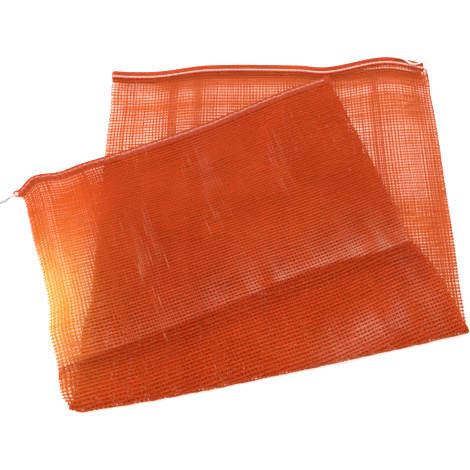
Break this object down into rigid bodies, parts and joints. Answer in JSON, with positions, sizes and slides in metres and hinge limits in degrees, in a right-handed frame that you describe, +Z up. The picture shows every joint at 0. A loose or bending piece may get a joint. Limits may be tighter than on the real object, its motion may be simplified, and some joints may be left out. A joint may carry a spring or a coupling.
{
  "type": "net produce bag",
  "caption": "Flattened tube of woven net, folded once across, with a drawstring hem at its open mouth and a sewn hem at its closed bottom.",
  "frame": {"origin": "on the surface that the bag lies on, under the middle of the bag's box without its loose cord ends", "axes": "+X along the mouth, towards the corner where the drawstring comes out; +Y towards the mouth; +Z up from the surface"},
  "size_m": [0.6549, 0.5196, 0.0199],
  "materials": {
    "net": "woven net of glossy translucent orange plastic tape",
    "hem": "the same net in several layers, deeper orange",
    "cord": "soft twisted white cord",
    "thread": "matt white sewing thread"
  },
  "bodies": {
    "root": {"net_lower": "net", "net_upper": "net", "net_fold": "net", "net_folded_half": "net", "mouth_hem_lower": "hem", "mouth_hem_upper": "hem", "bottom_hem": "hem", "drawstring_run": "cord", "drawstring_end": "cord", "drawstring_knot": "cord", "thread_tail": "thread"}
  },
  "joints": []
}
